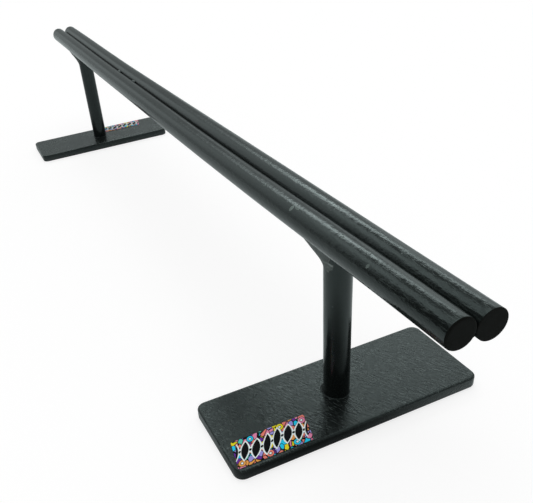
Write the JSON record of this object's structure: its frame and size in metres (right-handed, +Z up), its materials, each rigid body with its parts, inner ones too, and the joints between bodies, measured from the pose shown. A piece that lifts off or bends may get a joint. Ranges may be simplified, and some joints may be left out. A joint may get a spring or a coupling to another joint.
{
  "type": "miniature grind rail",
  "caption": "Finger-size grind rail: round steel bars side by side on low posts, each welded to a flat rectangular base plate, painted black.",
  "frame": {"origin": "on the floor under the middle of the rail", "axes": "+X along the bars towards the end nearest the viewer, +Y across the bars, +Z up"},
  "size_m": [0.3158, 0.0666, 0.0508],
  "materials": {
    "black_paint": "semi-gloss black paint with a fine orange-peel grain over mild steel",
    "weld_paint": "the same black paint over rippled weld bead, rougher and thicker",
    "sticker_print": null
  },
  "bodies": {
    "root": {"left_bar": "black_paint", "right_bar": "black_paint", "near_post": "black_paint", "far_post": "black_paint", "near_base_plate": "black_paint", "far_base_plate": "black_paint", "near_post_top_weld": "weld_paint", "far_post_top_weld": "weld_paint", "near_post_foot_weld": "weld_paint", "far_post_foot_weld": "weld_paint", "near_end_seam_weld": "weld_paint", "far_end_seam_weld": "weld_paint", "first_groove_tack": "weld_paint", "second_groove_tack": "weld_paint", "near_sticker": "sticker_print", "far_sticker": "sticker_print"}
  },
  "joints": []
}
